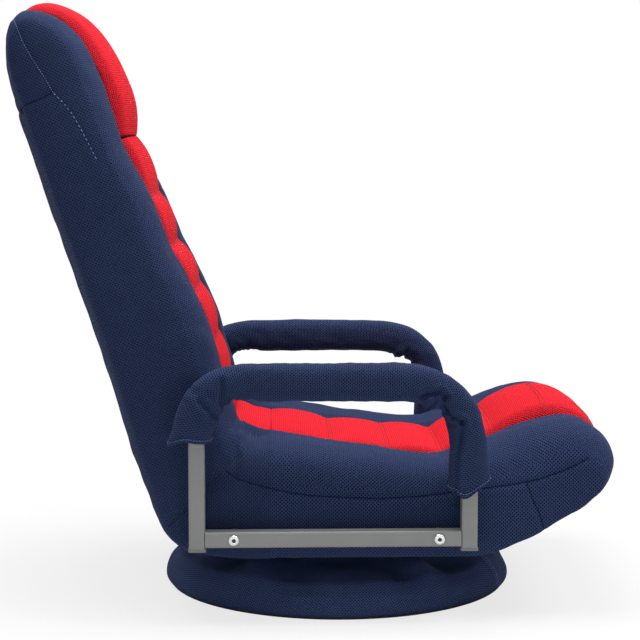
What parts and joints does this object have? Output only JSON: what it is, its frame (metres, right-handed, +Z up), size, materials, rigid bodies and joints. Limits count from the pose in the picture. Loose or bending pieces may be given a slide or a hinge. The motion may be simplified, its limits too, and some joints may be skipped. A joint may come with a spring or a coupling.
{
  "type": "floor gaming chair",
  "caption": "Low padded floor chair with a channelled seat and reclining back, padded loop armrests and a round covered swivel base.",
  "frame": {"origin": "on the floor, on the swivel axis, in the underside of the base", "axes": "+Z up, the sitter faces -Y, the sitter's right side is -X"},
  "size_m": [0.5566, 0.7588, 0.7703],
  "materials": {
    "navy_mesh_cloth": "matt air mesh",
    "red_mesh_cloth": "matt ribbed mesh",
    "foam": "open-cell foam",
    "grey_steel": "satin powder coat",
    "dark_steel": "satin",
    "plated_steel": "zinc plated",
    "bright_bolt": "polished",
    "black_plastic": "matt",
    "dark_cloth": "matt"
  },
  "bodies": {
    "base": {"base_sheet": "dark_cloth", "base_ring": "dark_steel", "base_legs": "dark_steel", "base_ring_pad": "foam", "base_cover": "navy_mesh_cloth", "hub_plate": "dark_steel", "swivel_lower_plate": "plated_steel", "swivel_lower_screws": "plated_steel", "swivel_pin": "plated_steel"},
    "ball_race": {"ball_cage": "black_plastic", "balls": "plated_steel"},
    "seat": {"arm_bolts_left": "bright_bolt", "arm_bolts_right": "bright_bolt", "arm_caps_left": "black_plastic", "arm_caps_right": "black_plastic", "arm_foam_left": "foam", "arm_foam_right": "foam", "arm_frame_left": "grey_steel", "arm_frame_right": "grey_steel", "arm_sleeve_left": "navy_mesh_cloth", "arm_sleeve_right": "navy_mesh_cloth", "arm_spacers_left": "plated_steel", "arm_spacers_right": "plated_steel", "corner_foam": "navy_mesh_cloth", "hinge_pin_left": "plated_steel", "hinge_pin_right": "plated_steel", "hinge_seat_plate_left": "plated_steel", "hinge_seat_plate_right": "plated_steel", "hinge_seat_rivets_left": "plated_steel", "hinge_seat_rivets_right": "plated_steel", "pawl_pin_left": "plated_steel", "pawl_pin_right": "plated_steel", "pawl_spring_left": "plated_steel", "pawl_spring_right": "plated_steel", "rail_inserts_left": "plated_steel", "rail_inserts_right": "plated_steel", "seat_cross_bars": "dark_steel", "seat_cushion": "navy_mesh_cloth", "seat_dust_cover": "dark_cloth", "seat_frame": "dark_steel", "seat_pad": "red_mesh_cloth", "seat_wires": "dark_steel", "swivel_upper_plate": "plated_steel", "swivel_upper_screws": "plated_steel"},
    "backrest": {"back_frame": "dark_steel", "back_wires": "dark_steel", "back_cushion": "navy_mesh_cloth", "back_pad": "red_mesh_cloth", "headrest_pad": "red_mesh_cloth", "hinge_back_plate_left": "plated_steel", "hinge_back_plate_right": "plated_steel", "hinge_back_rivets_left": "plated_steel", "hinge_back_rivets_right": "plated_steel"},
    "pawl_left": {"pawl_left": "plated_steel"},
    "pawl_right": {"pawl_right": "plated_steel"}
  },
  "joints": [
    {"name": "seat_swivel", "type": "hinge", "parent": "base", "child": "seat", "pos_m": [0, 0, 0.0778], "axis": [0, 0, 1], "continuous": true},
    {"name": "ball_race_turn", "type": "hinge", "parent": "base", "child": "ball_race", "pos_m": [0, 0, 0.0749], "axis": [0, 0, 1], "continuous": true},
    {"name": "back_recline", "type": "hinge", "parent": "seat", "child": "backrest", "pos_m": [0, 0.187, 0.118], "axis": [-1, 0, 0], "range_deg": [-18, 72], "deforming": ["corner_foam"]},
    {"name": "pawl_left_lift", "type": "hinge", "parent": "seat", "child": "pawl_left", "pos_m": [0.21, 0.15384, 0.09563], "axis": [1, 0, 0], "range_deg": [0, 8]},
    {"name": "pawl_right_lift", "type": "hinge", "parent": "seat", "child": "pawl_right", "pos_m": [-0.21, 0.15384, 0.09563], "axis": [1, 0, 0], "range_deg": [0, 8]}
  ],
  "couplings": [
    {"joint": "ball_race_turn", "follows": "seat_swivel", "ratio": 0.5},
    {"joint": "pawl_right_lift", "follows": "pawl_left_lift", "ratio": 1}
  ]
}
